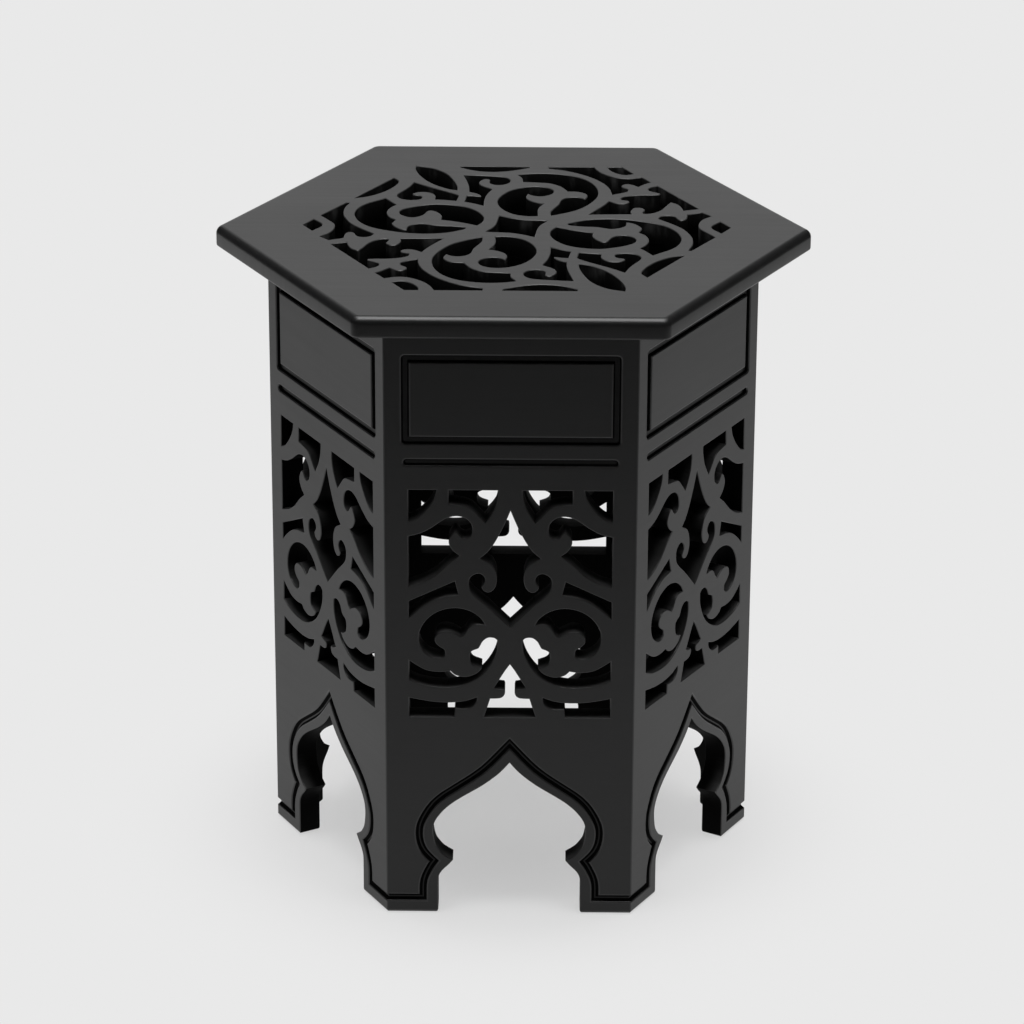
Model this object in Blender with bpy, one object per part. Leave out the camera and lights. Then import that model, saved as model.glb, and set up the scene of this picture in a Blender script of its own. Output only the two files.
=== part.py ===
"""A mashrabiya coffee table: a pierced hexagonal top on six mitred sides with scroll frets and ogee arches.

Metres, +Z up. The origin is on the floor under the middle of the table, and the front side faces -Y.
"""

import math

import bmesh
import bpy
from mathutils import Matrix, Vector
from mathutils.geometry import interpolate_bezier

# Whole table
TABLE_HEIGHT = 0.503
BODY_RADIUS = 0.188  # middle of the table to an outer corner of the six boards
FIT_GAP = 0.0003  # left between pieces that touch

# Top board
TOP_OVERHANG = 0.040  # at a corner
TOP_THICKNESS = 0.016
TOP_RIM_ROUND = 0.006
TOP_CORNER_ROUND = 0.002  # on the flat inside the round rim
TOP_UNDER_ROUND = 0.002
TOP_WINDOW_INSET = 0.025  # corner of the body in to a corner of the pierced field
TOP_WINDOW_SHIFT = (0.0025, 0.0029)  # middle of the top to the middle of the pierced field

# Side boards
SIDE_THICKNESS = 0.018
STILE_WIDTH = 0.018  # corner of the body in to the pierced field
FOOT_WIDTH = 0.0395  # corner of the body in to the arch
FOOT_EASE = 0.002
ARCH_HEIGHT = 0.129
ARCH_GROOVE_WIDTH = 0.006
FRET_RAIL = 0.0385  # plain wood between the arch and the pierced field
FRET_HEAD = 0.0225  # single groove down to the pierced field
FRIEZE_MARGIN = 0.016  # corner of the body in to the frieze groove
FRIEZE_DROP = 0.0285  # upper edge of the board down to the frieze groove
FRIEZE_HEIGHT = 0.0645
FRIEZE_GROOVE_WIDTH = 0.0065
LINE_DROP = 0.0175  # frieze down to the single groove
LINE_MARGIN = 0.014
LINE_GROOVE_WIDTH = 0.006
GROOVE_DEPTH = 0.0026

# Corner joints: a loose tongue in each mitre, and a glue block behind it
SPLINE_THICKNESS = 0.004
SPLINE_WIDTH = 0.016
SPLINE_SETBACK = 0.008  # inner corner out to the middle of the tongue
SPLINE_FLOOR_STOP = 0.060
SPLINE_TOP_STOP = 0.030
BLOCK_LEG = 0.032
BLOCK_DEPTH = 0.010  # beyond the ends of its legs
BLOCK_DROP = 0.030  # underside of the top down to the block
BLOCK_HEIGHT = 0.060

# Dowels that hold the top
DOWEL_DIAMETER = 0.008
DOWEL_SPACING = 0.100
DOWEL_IN_SIDE = 0.020
DOWEL_COVER = 0.007  # wood left above a dowel's hole in the top
DOWEL_SIDES = 10

# How finely the curves are cut into flats
CURVE_TOLERANCE = 0.0005  # how far a flat may stray from its curve
ROUND_STEPS = 3
EASE_STEPS = 2
UNDER_ROUND_STEPS = 1
GROOVE_END_STEPS = 4
WELD_DISTANCE = 0.000001

SIDES = ("front", "front_right", "back_right", "back", "back_left", "front_left")
CORNERS = ("front_right", "right", "back_right", "back_left", "left", "front_left")

# Places that follow from the sizes
TURN = math.tau / len(SIDES)
HALF_TURN = TURN / 2
SIDE_HEIGHT = TABLE_HEIGHT - TOP_THICKNESS - FIT_GAP
BODY_REACH = BODY_RADIUS * math.cos(HALF_TURN)  # middle of the table to the face of a side
BODY_HALF = BODY_RADIUS * math.sin(HALF_TURN)  # half the width of a side
INNER_REACH = BODY_REACH - SIDE_THICKNESS
SIDE_MIDDLE = BODY_REACH - SIDE_THICKNESS / 2
INNER_RADIUS = INNER_REACH / math.cos(HALF_TURN)
FRIEZE_TOP = SIDE_HEIGHT - FRIEZE_DROP
FRIEZE_BOTTOM = FRIEZE_TOP - FRIEZE_HEIGHT
LINE_LEVEL = FRIEZE_BOTTOM - LINE_DROP
FRET_TOP = LINE_LEVEL - FRET_HEAD
FRET_SILL = ARCH_HEIGHT + FRET_RAIL
FRET_HALF = BODY_HALF - STILE_WIDTH
CUT_PAST = 0.004  # how far a cutter stands out of the wood

# The drawings below are in millimetres. Each outline is a list of stretches. A stretch starts at a corner
# and runs smoothly through its own points to the corner where the next one starts.

# Side fret: the openings right of the middle line, which repeat on its left, and half of those on the line
FRET_DRAWN_HALF = 76
FRET_DRAWN_SILL = 167.5
FRET_DRAWN_TOP = 354
FRET_PAIRS = {
    "upper_corner": [[(55, 354), (57, 347), (63, 338), (70, 331)], [(76, 328.5)], [(76, 354)]],
    "upper_arm": [
        [(9, 354)],
        [(46, 354)],
        [(46, 343), (41, 342.5), (30, 340), (22, 332)],
        [(18.5, 328), (12, 339), (9.5, 348)],
    ],
    "upper_scroll": [
        [(76, 316.5)],
        [(76, 275.5), (65, 279.5), (55, 286), (46, 295)],
        [(38, 301), (43, 305), (46, 311), (45, 316), (41, 320.5), (38.5, 319), (36.5, 316), (33.5, 315),
         (30, 317), (28.5, 321), (29.5, 327), (34, 331.5), (41, 333), (49, 330.5), (58, 324), (67, 319)],
    ],
    "middle_leaf": [
        [(41.5, 280)],
        [(76, 263.5)],
        [(76, 250), (70, 256), (60, 263.5), (50, 267.5)],
        [(39, 269)],
    ],
    "middle_scroll": [
        [(19, 244.5), (22, 249.5), (30, 255.5), (41, 258), (53, 255.5), (62, 249), (67.5, 240),
         (68.5, 231), (65, 222.5), (58, 217.5), (52, 217)],
        [(49, 219), (49.5, 223.5), (53, 226), (56.5, 230), (56, 235), (52, 238.5), (46, 239), (41, 237)],
        [(37, 234.5), (34, 237), (31, 242), (26, 245)],
    ],
    "lower_scroll": [
        [(9.5, 231.5), (12, 233.5), (17, 233.5), (21, 230), (23.5, 225), (27, 223.5), (29.5, 221.5),
         (30, 216), (28, 211.5)],
        [(21, 208.5), (25, 204), (33, 201), (41, 202.5)],
        [(45, 206), (53, 205), (63, 206.5), (71, 211)],
        [(76, 214.5)],
        [(76, 198.5), (66, 194.5), (53, 192.5), (41, 193), (31, 196.5), (21, 203.5), (14, 213), (10, 223)],
    ],
    "lower_arm": [
        [(25, 184), (33, 181), (46, 179.5), (61, 180.5)],
        [(76, 183.5)],
        [(76, 167.5)],
        [(42, 167.5)],
        [(41.5, 175), (37, 174.5), (31, 175), (27, 178), (25, 181.5)],
    ],
}
FRET_MIDDLES = {
    "heart": [
        [(0, 337.5), (5, 325), (11.5, 312), (17, 304)],
        [(22.5, 299), (14, 294), (10.5, 287), (10, 280), (12, 274), (16, 271), (20, 272.5), (21.5, 276),
         (19.5, 279), (19, 282.5), (22, 286), (26, 286), (30, 283), (31, 279), (30, 273), (25, 267),
         (17, 260), (8, 251)],
        [(0, 243)],
    ],
    "bell": [
        [(0, 211.6), (3.2, 207), (6.8, 201), (9, 197)],
        [(11.8, 192.3), (8, 191)],
        [(4.2, 190.4), (3.6, 187.9), (5, 184.8), (8, 183.3)],
        [(14.8, 183)],
        [(19.5, 167.5)],
    ],
}

# Ogee arch: its right half from the tip down past the floor, and the groove round it down to its foot
ARCH_DRAWN_FOOT = 54.5
ARCH_DRAWN_HEIGHT = 129
ARCH_EDGE = [
    [(0, 129), (5, 123), (10, 118), (20, 110), (30, 103.5), (40, 97), (48, 90.5), (54, 83.5), (57.5, 77),
     (58.3, 69), (56.5, 59), (53.5, 54), (50, 50)],
    [(43.2, 45.5), (46, 42), (50, 38), (53, 34), (54.3, 30)],
    [(54.5, 23)],
    [(54.5, 3), (55.4, 0.9)],
    [(57.5, 0)],
    [(57.5, -8)],
]
ARCH_GROOVE = [
    [(0, 145.5), (10, 134), (20, 123.5), (30, 115.5), (40, 108.5), (50, 101.5), (58, 94), (64, 85),
     (68, 76), (69, 68), (68, 60), (65, 53), (60, 47)],
    [(57.5, 44.5), (60, 41), (63, 35), (65.5, 28), (66.2, 21)],
    [(66.2, 13)],
]

# Top fret: openings that repeat half a turn round, and half of the one in the middle
TOP_DRAWN_RADIUS = 163
TOP_PAIRS = {
    "side_hook": [
        [(-129.5, 52.5), (-133, 40), (-133.5, 26), (-131.5, 16), (-127, 4), (-120, -6), (-114, -13)],
        [(-108.5, -19), (-110.5, -24), (-116, -26.5), (-121, -24), (-123, -18), (-125.5, -15.5),
         (-128.5, -16.5), (-130.5, -21)],
        [(-131, -29)],
        [(-142, -34)],
        [(-149, -26), (-142, -18), (-139, -9), (-139, 2), (-143, 10)],
        [(-150.5, 22)],
        [(-131.5, 52.5)],
    ],
    "side_tip": [[(-163, 0)], [(-155.5, 13), (-148.5, 0)], [(-155.5, -13)]],
    "ring_crescent": [
        [(-102.5, 63), (-108, 57.5), (-115, 51), (-121, 42), (-124.5, 30), (-124, 20), (-120, 8),
         (-112, -3), (-102, -9.5), (-94, -13), (-86, -16), (-77, -17.5), (-68, -18), (-54, -15.5),
         (-44, -10), (-39, -5), (-44, -2), (-52, -0.5), (-62, 0.5), (-71, 4.5), (-77, 3), (-81.5, -0.5),
         (-83.3, -5)],
        [(-83.5, -10.5), (-87, -9.5), (-91, -6), (-94, -1), (-95.5, 4), (-94, 10)],
        [(-93, 13), (-97.5, 18), (-100, 26), (-100, 34), (-97.5, 42)],
        [(-93.5, 48), (-97, 53)],
    ],
    "ring_scroll": [
        [(-58, 14), (-49, 11), (-40, 7)],
        [(-30.5, 1.5), (-27, 8), (-25.5, 16), (-27, 25), (-32, 35), (-39, 42.5), (-49, 47.5), (-62, 49.5),
         (-72, 47), (-82, 42), (-88.5, 36), (-90.5, 30), (-88, 23.5), (-81, 19), (-74.5, 22), (-71, 28),
         (-69, 33.5), (-65.5, 35), (-60.5, 30), (-57.5, 22)],
    ],
    "edge_lens": [
        [(-126.5, 62.5)],
        [(-97.5, 111), (-93.5, 103), (-96, 93), (-101, 83), (-108, 74), (-117, 66.5)],
    ],
    "shoulder_scroll": [
        [(-81, 101), (-72, 92.5), (-62, 84.5), (-52, 76.5), (-46.5, 71), (-46, 68)],
        [(-47.5, 58), (-56, 60)],
        [(-64, 61), (-63.5, 68), (-65.5, 74), (-70.5, 78), (-77, 78), (-81.5, 74.5), (-80.5, 70.5),
         (-77, 69.5), (-74.5, 67), (-74.5, 63), (-78, 60), (-84, 59.5), (-90, 62), (-93.5, 68),
         (-92.5, 73.5), (-88, 82), (-84, 91)],
    ],
    "corner_leaf": [
        [(47, -83), (54, -86), (63, -94), (71, -105), (78, -121), (81, -134)],
        [(80.5, -141), (68, -135.5), (57, -123), (50.5, -106), (47.5, -92)],
    ],
    "neck_scroll": [
        [(-43, 120), (-30, 118.5), (-16, 116.5), (-10, 114), (-6.5, 109), (-6.5, 103), (-11, 97.5),
         (-17, 96.5), (-21.5, 100), (-22, 105), (-22, 109), (-25.5, 110.5), (-29.5, 106), (-30.5, 100),
         (-28.5, 94), (-24, 89.5)],
        [(-20, 86), (-22.5, 79), (-24.7, 70), (-26, 58)],
        [(-26, 47), (-34, 52.5)],
        [(-41, 56), (-40, 63)],
        [(-39, 70), (-35, 69.8), (-31, 68.3)],
        [(-28.2, 68.2), (-28.5, 70.8), (-31.5, 75.5)],
        [(-37.5, 79.5), (-38, 92), (-40, 106)],
    ],
    "waist_hook": [
        [(-140, -42.5)],
        [(-128, -38.5), (-127, -45), (-124, -53)],
        [(-118.5, -58), (-115, -50), (-111, -40), (-105, -33), (-98.5, -30.5), (-96.5, -33), (-98.5, -39),
         (-96, -44), (-91, -44.5), (-88, -40), (-87, -34)],
        [(-88, -29.5), (-72, -29)],
        [(-55, -28), (-62, -40), (-67.5, -50)],
        [(-71, -59), (-76, -54.5), (-82, -53), (-86.5, -56), (-85.5, -61), (-81, -62.5), (-80.5, -66.5),
         (-85, -71), (-95, -74), (-110, -75), (-110.5, -79), (-103, -84), (-102.5, -90)],
        [(-109, -96)],
    ],
    "corner_sweep": [
        [(-73.5, -75), (-72.5, -86), (-68.5, -99), (-60, -113), (-49, -124), (-37, -132)],
        [(-24, -136.5)],
        [(-24, -141)],
        [(-59.5, -141), (-63, -131), (-69, -122), (-78, -115), (-87, -113)],
        [(-97, -116.5)],
        [(-104, -105), (-99, -100.5)],
        [(-94, -94), (-90, -98.5), (-85, -100.5), (-81, -96.5), (-82, -91.5), (-85.5, -88), (-85.5, -83),
         (-80, -78.5)],
    ],
    "corner_tip": [[(-91, -125), (-84, -122.5), (-77, -127), (-72, -135)], [(-71, -141)], [(-81.5, -141.2)]],
    "end_lens": [
        [(-9.5, -141)],
        [(-8.5, -138.3), (0, -133.5), (10, -129.5), (20, -128), (31, -129.5), (40, -134)],
        [(45.5, -138.3)],
        [(46, -141)],
    ],
    "great_crescent": [
        [(-26, -25), (-37, -31.5), (-48, -41), (-56.5, -55), (-62, -71), (-62, -87), (-57.5, -102),
         (-49, -114), (-38, -121), (-24, -124.5), (-10, -124)],
        [(0.5, -121), (-3.5, -113)],
        [(-4, -104), (-15, -103), (-25, -101), (-33, -94.5), (-37.5, -86)],
        [(-39, -82), (-46, -81.5), (-52, -78), (-54.5, -71)],
        [(-52.5, -63), (-49, -66.5), (-44, -68), (-38, -66), (-34, -60), (-32.5, -51), (-28.5, -41),
         (-26, -33)],
    ],
    "great_scroll": [
        [(-16, -24), (-8, -23.5), (2, -27.5), (10, -37), (14.5, -49), (15, -60), (11.5, -72), (5, -83),
         (-3, -89.5), (-11, -92.5), (-19, -92), (-26, -87), (-28, -80.5), (-25, -74), (-18, -70),
         (-11.5, -72)],
        [(-8, -76), (-6.5, -69), (-8, -61.5), (-13, -56)],
        [(-20.5, -52.5), (-17, -45), (-15.5, -36)],
    ],
}
TOP_MIDDLE = [
    [(-13.5, 24), (-4, 18), (6, 14.5), (18, 13.5)],
    [(23.5, 12.5), (18, 3.5), (15.5, -5.5), (14.5, -14.5)],
]


def curve_points(start, end, way_out, way_in):
    """Points of a curve from start up to but not including end, with the ways that it leaves and arrives."""
    reach = (end - start).length / 3
    handles = (start + way_out * reach, end - way_in * reach)
    middle = (start + 3 * handles[0] + 3 * handles[1] + end) / 8
    strays = (middle - (start + end) / 2).length
    pieces = max(1, math.ceil(math.sqrt(strays / CURVE_TOLERANCE)))
    return interpolate_bezier(start, *handles, end, pieces + 1)[:-1]


def traced(stretches, place, closed=True):
    """The points of a drawn outline, or of an open line to its last point, put in place by a function."""
    knots = [Vector(place(*point)) for stretch in stretches for point in stretch]
    corners = set()
    for stretch in stretches[:-1]:
        corners.add(max(corners, default=0) + len(stretch))
    corners.add(0)
    count = len(knots)
    if not closed:
        corners.add(count - 1)
    points = []
    for i in range(count if closed else count - 1):
        j = (i + 1) % count
        straight = (knots[j] - knots[i]).normalized()
        way_out = straight if i in corners else (knots[j] - knots[i - 1]).normalized()
        way_in = straight if j in corners else (knots[(j + 1) % count] - knots[i]).normalized()
        points += curve_points(knots[i], knots[j], way_out, way_in)
    if not closed:
        points.append(knots[-1])
    return points


def mirrored(points):
    return [Vector((-point.x, point.y)) for point in points]


def half_turned(points):
    return [-point for point in points]


def on_fret(across, up):
    """A place on a side's face, from the drawing of the side fret."""
    rise = (up - FRET_DRAWN_SILL) / (FRET_DRAWN_TOP - FRET_DRAWN_SILL)
    return across / FRET_DRAWN_HALF * FRET_HALF, FRET_SILL + rise * (FRET_TOP - FRET_SILL)


def on_arch(across, up):
    """A place on a side's face, from the drawing of the arch."""
    return across / ARCH_DRAWN_FOOT * (BODY_HALF - FOOT_WIDTH), up / ARCH_DRAWN_HEIGHT * ARCH_HEIGHT


def on_top(x, y):
    """A place on the top, from the drawing of its fret."""
    scale = (BODY_RADIUS - TOP_WINDOW_INSET) / TOP_DRAWN_RADIUS
    return x * scale, y * scale


def arc_points(centre, radius, start, end, steps):
    turns = [start + (end - start) * step / steps for step in range(steps + 1)]
    return [centre + radius * Vector((math.cos(turn), math.sin(turn))) for turn in turns]


def strip(path, width):
    """The outline of a strip of this width along an open path, mitred where the path turns."""
    ways = [(end - start).normalized() for start, end in zip(path, path[1:])]
    edge = []
    for way_in, way_out in zip(ways[:1] + ways, ways + ways[-1:]):
        across = Vector((-way_in.y, way_in.x))
        mitre = across + Vector((-way_out.y, way_out.x))
        edge.append(mitre / mitre.dot(across) * width / 2)
    left = [point + offset for point, offset in zip(path, edge)]
    right = [point - offset for point, offset in zip(path, edge)]
    return left + right[::-1]


def rectangle(half_width, bottom, top):
    corners = ((-half_width, bottom), (half_width, bottom), (half_width, top), (-half_width, top))
    return [Vector(corner) for corner in corners]


def finished(name, colour, roughness, metallic=0.0):
    material = bpy.data.materials.new(name)
    material.use_nodes = True
    shader = material.node_tree.nodes["Principled BSDF"]
    shader.inputs["Base Color"].default_value = (*colour, 1)
    shader.inputs["Roughness"].default_value = roughness
    shader.inputs["Metallic"].default_value = metallic
    return material


def add_helper(name, mesh, matrix=Matrix()):
    """A cutter or a blank, which isn't one of the table's pieces."""
    helper = bpy.data.objects.new(name, mesh)
    helper.matrix_world = matrix
    helper.hide_render = True
    helper.display_type = "WIRE"
    helpers.objects.link(helper)
    return helper


def add_piece(name, mesh, material, turn=0.0):
    piece = bpy.data.objects.new(name, mesh)
    piece.rotation_euler.z = turn
    piece.parent = table
    if not mesh.materials:
        mesh.materials.append(material)
    pieces.objects.link(piece)
    return piece


def evaluated_mesh(obj):
    bpy.context.view_layer.update()
    graph = bpy.context.evaluated_depsgraph_get()
    return bpy.data.meshes.new_from_object(obj.evaluated_get(graph))


def mesh_from(shape, name):
    mesh = bpy.data.meshes.new(name)
    shape.to_mesh(mesh)
    shape.free()
    return mesh


def flat_mesh(name, outlines, thickness):
    """A flat solid of closed outlines in the XY plane. An outline inside another is a hole in it."""
    curve = bpy.data.curves.new(name, "CURVE")
    curve.dimensions = "2D"
    curve.fill_mode = "BOTH"
    curve.extrude = thickness / 2
    for outline in outlines:
        spline = curve.splines.new("POLY")
        spline.points.add(len(outline) - 1)
        for knot, point in zip(spline.points, outline):
            knot.co = (*point, 0, 1)
        spline.use_cyclic_u = True
    drawn = bpy.data.objects.new(name, curve)
    helpers.objects.link(drawn)
    mesh = evaluated_mesh(drawn)
    bpy.data.objects.remove(drawn)
    bpy.data.curves.remove(curve)
    shape = bmesh.new()
    shape.from_mesh(mesh)
    bmesh.ops.remove_doubles(shape, verts=shape.verts, dist=WELD_DISTANCE)
    bmesh.ops.recalc_face_normals(shape, faces=shape.faces)
    shape.to_mesh(mesh)
    shape.free()
    return mesh


def face_cutter(name, outlines, depth):
    """A cutter that goes this deep into the front side's face."""
    middle = Matrix.Translation((0, (depth - CUT_PAST) / 2 - BODY_REACH, 0))
    upright = Matrix.Rotation(math.pi / 2, 4, "X")
    return add_helper(name, flat_mesh(name, outlines, depth + CUT_PAST), middle @ upright)


def box_mesh(name, size, middle):
    shape = bmesh.new()
    bmesh.ops.create_cube(shape, size=1)
    bmesh.ops.scale(shape, vec=size, verts=shape.verts)
    bmesh.ops.translate(shape, vec=middle, verts=shape.verts)
    return mesh_from(shape, name)


def bevel_edges(shape, edges, offset, segments):
    bmesh.ops.bevel(shape, geom=edges, offset=offset, segments=segments, profile=0.5, affect="EDGES")


def cut(obj, cutter):
    obj.modifiers.new(cutter.name, "BOOLEAN").object = cutter


def dowel_places(turn):
    """Where the two dowels of a side stand."""
    rotation = Matrix.Rotation(turn, 3, "Z")
    return [rotation @ Vector((hand * DOWEL_SPACING / 2, -SIDE_MIDDLE, 0)) for hand in (-1, 1)]


def add_rod(shape, place, radius, bottom, top):
    middle = Matrix.Translation((place.x, place.y, (bottom + top) / 2))
    bmesh.ops.create_cone(
        shape,
        cap_ends=True,
        segments=DOWEL_SIDES,
        radius1=radius,
        radius2=radius,
        depth=top - bottom,
        matrix=middle,
    )


def dowel_hole_cutter():
    """All the dowel holes, each through the joint between a side and the top."""
    shape = bmesh.new()
    for k in range(len(SIDES)):
        for place in dowel_places(k * TURN):
            add_rod(
                shape,
                place,
                DOWEL_DIAMETER / 2 + FIT_GAP,
                SIDE_HEIGHT - DOWEL_IN_SIDE - FIT_GAP,
                TABLE_HEIGHT - DOWEL_COVER + FIT_GAP,
            )
    return add_helper("dowel_holes", mesh_from(shape, "dowel_holes"))


def side_blank():
    """The front side as a plain board with its mitred ends and its outer lower edge eased."""
    setback = FIT_GAP / 2 / math.cos(HALF_TURN)
    face_half = BODY_HALF - setback
    back_half = face_half - SIDE_THICKNESS * math.tan(HALF_TURN)
    shape = bmesh.new()
    bmesh.ops.create_cube(shape, size=1)
    bmesh.ops.scale(shape, vec=(2 * face_half, SIDE_THICKNESS, SIDE_HEIGHT), verts=shape.verts)
    bmesh.ops.translate(shape, vec=(0, -SIDE_MIDDLE, SIDE_HEIGHT / 2), verts=shape.verts)
    for vert in shape.verts:
        if vert.co.y > -SIDE_MIDDLE:
            vert.co.x = math.copysign(back_half, vert.co.x)
    lower_edge = [
        edge
        for edge in shape.edges
        if all(vert.co.y < -SIDE_MIDDLE and vert.co.z < SIDE_HEIGHT / 2 for vert in edge.verts)
    ]
    bevel_edges(shape, lower_edge, FOOT_EASE, EASE_STEPS)
    return add_helper("side_blank", mesh_from(shape, "side_blank"))


def side_fret_outlines():
    outlines = []
    for stretches in FRET_PAIRS.values():
        outline = traced(stretches, on_fret)
        outlines += [outline, mirrored(outline)]
    for stretches in FRET_MIDDLES.values():
        half = traced(stretches, on_fret, closed=False)
        left = mirrored(half)[::-1]
        outlines.append(half + [point for point in left if point.x < 0])
    return outlines


def arch_outline():
    half = traced(ARCH_EDGE, on_arch, closed=False)
    return half + mirrored(half)[:0:-1]


def arch_groove_outline():
    half = traced(ARCH_GROOVE, on_arch, closed=False)
    half.append(Vector((BODY_HALF + CUT_PAST, half[-1].y)))
    return strip(mirrored(half)[:0:-1] + half, ARCH_GROOVE_WIDTH)


def frieze_outlines():
    """The outer and the inner edge of the groove round the frieze."""
    half_groove = FRIEZE_GROOVE_WIDTH / 2
    half_width = BODY_HALF - FRIEZE_MARGIN
    outer = rectangle(half_width + half_groove, FRIEZE_BOTTOM - half_groove, FRIEZE_TOP + half_groove)
    inner = rectangle(half_width - half_groove, FRIEZE_BOTTOM + half_groove, FRIEZE_TOP - half_groove)
    return [outer, inner]


def line_outline():
    """The single groove under the frieze, with round ends."""
    radius = LINE_GROOVE_WIDTH / 2
    end = Vector((BODY_HALF - LINE_MARGIN - radius, LINE_LEVEL))
    right = arc_points(end, radius, -math.pi / 2, math.pi / 2, GROOVE_END_STEPS)
    return right + mirrored(right)[::-1]


def spline_slot(name, corner):
    """A cutter for a tongue's slot. It reaches into the boards on both sides of a corner."""
    size = (
        SPLINE_THICKNESS + 2 * FIT_GAP,
        SPLINE_WIDTH + 2 * FIT_GAP,
        SIDE_HEIGHT - SPLINE_TOP_STOP - SPLINE_FLOOR_STOP + 2 * FIT_GAP,
    )
    return add_helper(name, box_mesh(name, size, spline_middle()), Matrix.Rotation(corner, 4, "Z"))


def spline_middle():
    return INNER_RADIUS + SPLINE_SETBACK, 0, (SIDE_HEIGHT - SPLINE_TOP_STOP + SPLINE_FLOOR_STOP) / 2


def corner_turn(k):
    """The direction of the corner that follows side k."""
    return k * TURN + HALF_TURN - math.pi / 2


def add_sides(dowel_holes):
    blank = side_blank()
    cut(blank, face_cutter("side_fret_openings", side_fret_outlines(), SIDE_THICKNESS + CUT_PAST))
    cut(blank, face_cutter("arch_opening", [arch_outline()], SIDE_THICKNESS + CUT_PAST))
    cut(blank, face_cutter("arch_groove", [arch_groove_outline()], GROOVE_DEPTH))
    cut(blank, face_cutter("frieze_groove", frieze_outlines(), GROOVE_DEPTH))
    cut(blank, face_cutter("line_groove", [line_outline()], GROOVE_DEPTH))
    cut(blank, spline_slot("right_spline_slot", corner_turn(0)))
    cut(blank, spline_slot("left_spline_slot", corner_turn(-1)))
    cut(blank, dowel_holes)
    mesh = evaluated_mesh(blank)
    mesh.name = "side_panel"
    for k, side in enumerate(SIDES):
        add_piece(f"side_panel_{side}", mesh, black_lacquer, k * TURN)


def add_splines():
    size = (SPLINE_THICKNESS, SPLINE_WIDTH, SIDE_HEIGHT - SPLINE_TOP_STOP - SPLINE_FLOOR_STOP)
    mesh = box_mesh("mitre_spline", size, spline_middle())
    for k, corner in enumerate(CORNERS):
        add_piece(f"mitre_spline_{corner}", mesh, birch_ply, corner_turn(k))


def add_glue_blocks():
    """Blocks in the inner corners behind the frieze, a hair's breadth from the boards."""
    apex = Vector(((INNER_REACH - FIT_GAP) / math.cos(HALF_TURN), 0))
    along = math.pi / 2 - HALF_TURN
    leg_end = apex + BLOCK_LEG * Vector((-math.cos(along), math.sin(along)))
    back = leg_end + BLOCK_DEPTH * Vector((-math.sin(along), -math.cos(along)))
    outline = [apex, leg_end, back, Vector((back.x, -back.y)), Vector((leg_end.x, -leg_end.y))]
    mesh = flat_mesh("glue_block", [outline], BLOCK_HEIGHT)
    mesh.transform(Matrix.Translation((0, 0, SIDE_HEIGHT - BLOCK_DROP - BLOCK_HEIGHT / 2)))
    for k, corner in enumerate(CORNERS):
        add_piece(f"glue_block_{corner}", mesh, black_lacquer, corner_turn(k))


def add_dowels():
    for k, side in enumerate(SIDES):
        for number, place in enumerate(dowel_places(k * TURN), start=1):
            shape = bmesh.new()
            add_rod(shape, place, DOWEL_DIAMETER / 2, SIDE_HEIGHT - DOWEL_IN_SIDE, TABLE_HEIGHT - DOWEL_COVER)
            name = f"top_dowel_{side}_{number}"
            add_piece(name, mesh_from(shape, name), beech).data.shade_smooth()


def top_blank():
    """A plain hexagonal board with its corners, its rim and its under edge rounded."""
    radius = BODY_RADIUS + TOP_OVERHANG
    middle = Matrix.Translation((0, 0, TABLE_HEIGHT - TOP_THICKNESS / 2))
    shape = bmesh.new()
    bmesh.ops.create_cone(
        shape,
        cap_ends=True,
        segments=len(SIDES),
        radius1=radius,
        radius2=radius,
        depth=TOP_THICKNESS,
        matrix=middle @ Matrix.Rotation(math.pi / 2, 4, "Z"),
    )
    upright = [edge for edge in shape.edges if edge.calc_length() < radius / 2]
    corner_cut = (TOP_RIM_ROUND + TOP_CORNER_ROUND) * math.tan(HALF_TURN)
    bevel_edges(shape, upright, corner_cut, ROUND_STEPS)
    for level, offset, segments in (
        (TABLE_HEIGHT, TOP_RIM_ROUND, ROUND_STEPS),
        (TABLE_HEIGHT - TOP_THICKNESS, TOP_UNDER_ROUND, UNDER_ROUND_STEPS),
    ):
        rim = [edge for edge in shape.edges if all(abs(vert.co.z - level) < FIT_GAP for vert in edge.verts)]
        bevel_edges(shape, rim, offset, segments)
    return mesh_from(shape, "tabletop")


def top_fret_outlines():
    outlines = []
    for stretches in TOP_PAIRS.values():
        outline = traced(stretches, on_top)
        outlines += [outline, half_turned(outline)]
    back = [[(-x, -y) for x, y in stretch] for stretch in TOP_MIDDLE]
    outlines.append(traced(TOP_MIDDLE + back, on_top))
    return outlines


def add_top(dowel_holes):
    top = add_piece("tabletop", top_blank(), black_lacquer)
    openings = flat_mesh("top_fret_openings", top_fret_outlines(), TOP_THICKNESS + 2 * CUT_PAST)
    middle = Matrix.Translation((*TOP_WINDOW_SHIFT, TABLE_HEIGHT - TOP_THICKNESS / 2))
    cut(top, add_helper("top_fret_openings", openings, middle))
    cut(top, dowel_holes)


for leftover in list(bpy.data.objects):
    bpy.data.objects.remove(leftover)
pieces = bpy.data.collections.new("mashrabiya_coffee_table")
helpers = bpy.data.collections.new("cutters")
for collection in (pieces, helpers):
    bpy.context.scene.collection.children.link(collection)
table = bpy.data.objects.new("table", None)
pieces.objects.link(table)

black_lacquer = finished("black_lacquer", (0.012, 0.012, 0.0125), 0.38)
birch_ply = finished("birch_ply", (0.60, 0.45, 0.28), 0.6)
beech = finished("beech", (0.56, 0.37, 0.22), 0.55)

dowel_hole_helper = dowel_hole_cutter()
add_sides(dowel_hole_helper)
add_splines()
add_glue_blocks()
add_dowels()
add_top(dowel_hole_helper)
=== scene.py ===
"""The looks of a mashrabiya coffee table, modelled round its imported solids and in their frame."""

import math

import bmesh
import bpy
from mathutils import Matrix, Vector
from mathutils.geometry import interpolate_bezier


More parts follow.
